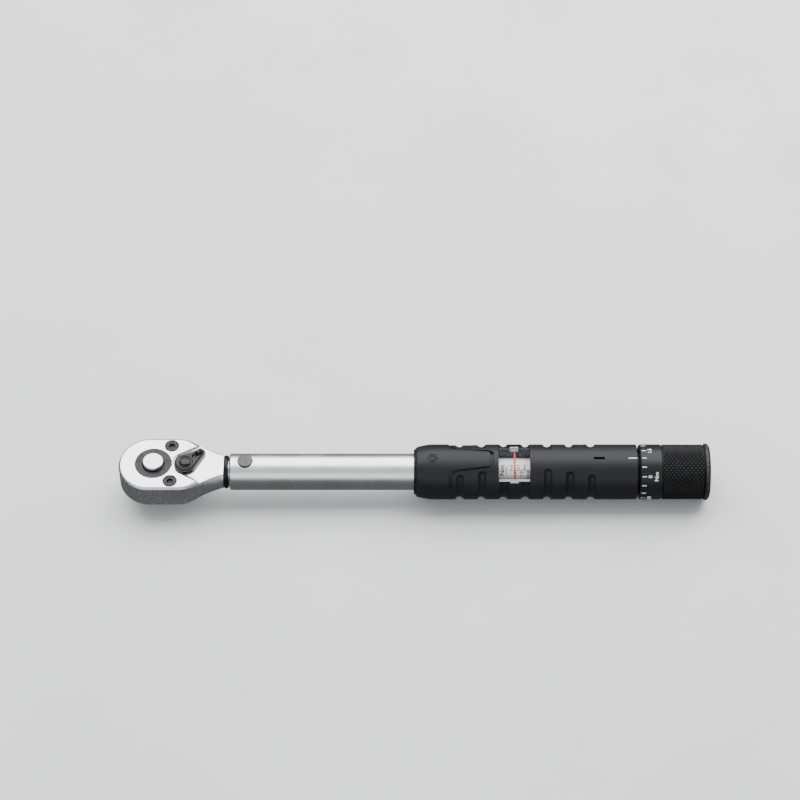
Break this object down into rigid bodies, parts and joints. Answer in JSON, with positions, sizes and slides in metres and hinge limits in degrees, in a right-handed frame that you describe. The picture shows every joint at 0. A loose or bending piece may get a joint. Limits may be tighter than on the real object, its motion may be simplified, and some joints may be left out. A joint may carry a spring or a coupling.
{
  "type": "torque wrench",
  "caption": "Click torque wrench: square-drive ratchet head with reversing lever, pinned tube, grooved handle with scale window, and pull-out micrometer knob.",
  "frame": {"origin": "centre of the square drive's end face, on the drive's axis", "axes": "+X along the wrench from the drive to the knob, +Z out of the head's release-button side, -Z the way the drive points"},
  "size_m": [0.226, 0.0244, 0.0236],
  "materials": {
    "satin_chrome": "satin chrome",
    "black_steel": "black oxide",
    "bare_steel": "ground steel",
    "black_plastic": "fine-textured satin",
    "black_anodised": "black anodised",
    "black_rubber": "smooth",
    "white_scale": "white with black markings",
    "clear_acrylic": "clear",
    "brass": "turned"
  },
  "bodies": {
    "barrel": {"tube": "satin_chrome", "pivot_pin": "bare_steel", "handle_grip": "black_plastic", "window_lens": "clear_acrylic", "grip_seal": "black_rubber", "handle_key": "black_steel", "rear_bushing": "black_anodised", "bushing_pin": "bare_steel", "lock_ring": "black_rubber", "thrust_washer": "brass", "main_spring": "bare_steel"},
    "head": {"head_body": "satin_chrome", "cover_plate": "black_steel", "head_screw_1": "black_steel", "head_screw_2": "black_steel", "neck_seal": "black_rubber"},
    "drive": {"ratchet_gear": "black_steel", "button_retainer": "black_steel", "button_spring": "bare_steel"},
    "button": {"release_button": "satin_chrome"},
    "ball": {"detent_ball": "bare_steel"},
    "lever": {"reverse_lever": "black_steel", "lever_snap_ring": "bare_steel", "lever_detent_ball": "bare_steel", "lever_detent_spring": "bare_steel"},
    "rocking_pawl": {"pawl": "bare_steel"},
    "block": {"tilt_block": "bare_steel"},
    "spring_plunger": {"plunger": "bare_steel"},
    "carriage": {"adjuster_nut": "brass", "nut_key": "bare_steel", "spring_seat": "bare_steel", "scale_sleeve": "white_scale", "sleeve_clip": "bare_steel"},
    "spindle": {"adjusting_spindle": "bare_steel", "knob_washer": "bare_steel", "knob_screw": "bare_steel"},
    "adjusting_knob": {"knob": "black_anodised", "end_cap": "black_plastic"}
  },
  "joints": [
    {"name": "head_click", "type": "hinge", "parent": "barrel", "child": "head", "pos_m": [0.03515, 0, 0.0127], "axis": [0, 0, 1], "range_deg": [0, 2.5], "stiffness_Nm_per_rad": 2, "springref_deg": -0.57},
    {"name": "block_tilt", "type": "hinge", "parent": "barrel", "child": "block", "pos_m": [0.06525, 0, 0.0127], "axis": [0, 0, 1], "range_deg": [-10.01, 0]},
    {"name": "plunger_push", "type": "slide", "parent": "barrel", "child": "spring_plunger", "axis": [1, 0, 0], "range_m": [0, 0.000501], "deforming": ["main_spring"]},
    {"name": "drive_spin", "type": "hinge", "parent": "head", "child": "drive", "pos_m": [0, 0, 0], "axis": [0, 0, 1], "continuous": true},
    {"name": "button_push", "type": "slide", "parent": "drive", "child": "button", "axis": [0, 0, -1], "range_m": [0, 0.0015], "stiffness_N_per_m": 500, "springref_m": -0.001, "deforming": ["button_spring"]},
    {"name": "ball_retract", "type": "slide", "parent": "drive", "child": "ball", "axis": [0, 1, 0], "range_m": [0, 0.00052]},
    {"name": "lever_turn", "type": "hinge", "parent": "head", "child": "lever", "pos_m": [0.0122, 0, 0], "axis": [0, 0, 1], "range_deg": [-84, 0]},
    {"name": "pawl_rock", "type": "hinge", "parent": "head", "child": "rocking_pawl", "pos_m": [0.0122, 0, 0], "axis": [0, 0, 1], "range_deg": [-10.01, 0]},
    {"name": "spindle_turn", "type": "hinge", "parent": "barrel", "child": "spindle", "pos_m": [0.19, 0, 0.0127], "axis": [-1, 0, 0], "range_deg": [-280, 2120]},
    {"name": "carriage_slide", "type": "slide", "parent": "barrel", "child": "carriage", "axis": [-1, 0, 0], "range_m": [-0.00098, 0.00737], "deforming": ["main_spring"]},
    {"name": "knob_pull", "type": "slide", "parent": "spindle", "child": "adjusting_knob", "axis": [1, 0, 0], "range_m": [0, 0.003]}
  ],
  "couplings": [
    {"joint": "block_tilt", "follows": "head_click", "ratio": -4},
    {"joint": "plunger_push", "follows": "head_click", "m_per_rad": 0.01146},
    {"joint": "ball_retract", "follows": "button_push", "ratio": 0.344},
    {"joint": "pawl_rock", "follows": "lever_turn", "ratio": 0.11905},
    {"joint": "carriage_slide", "follows": "spindle_turn", "m_per_rad": 0.00019894}
  ]
}
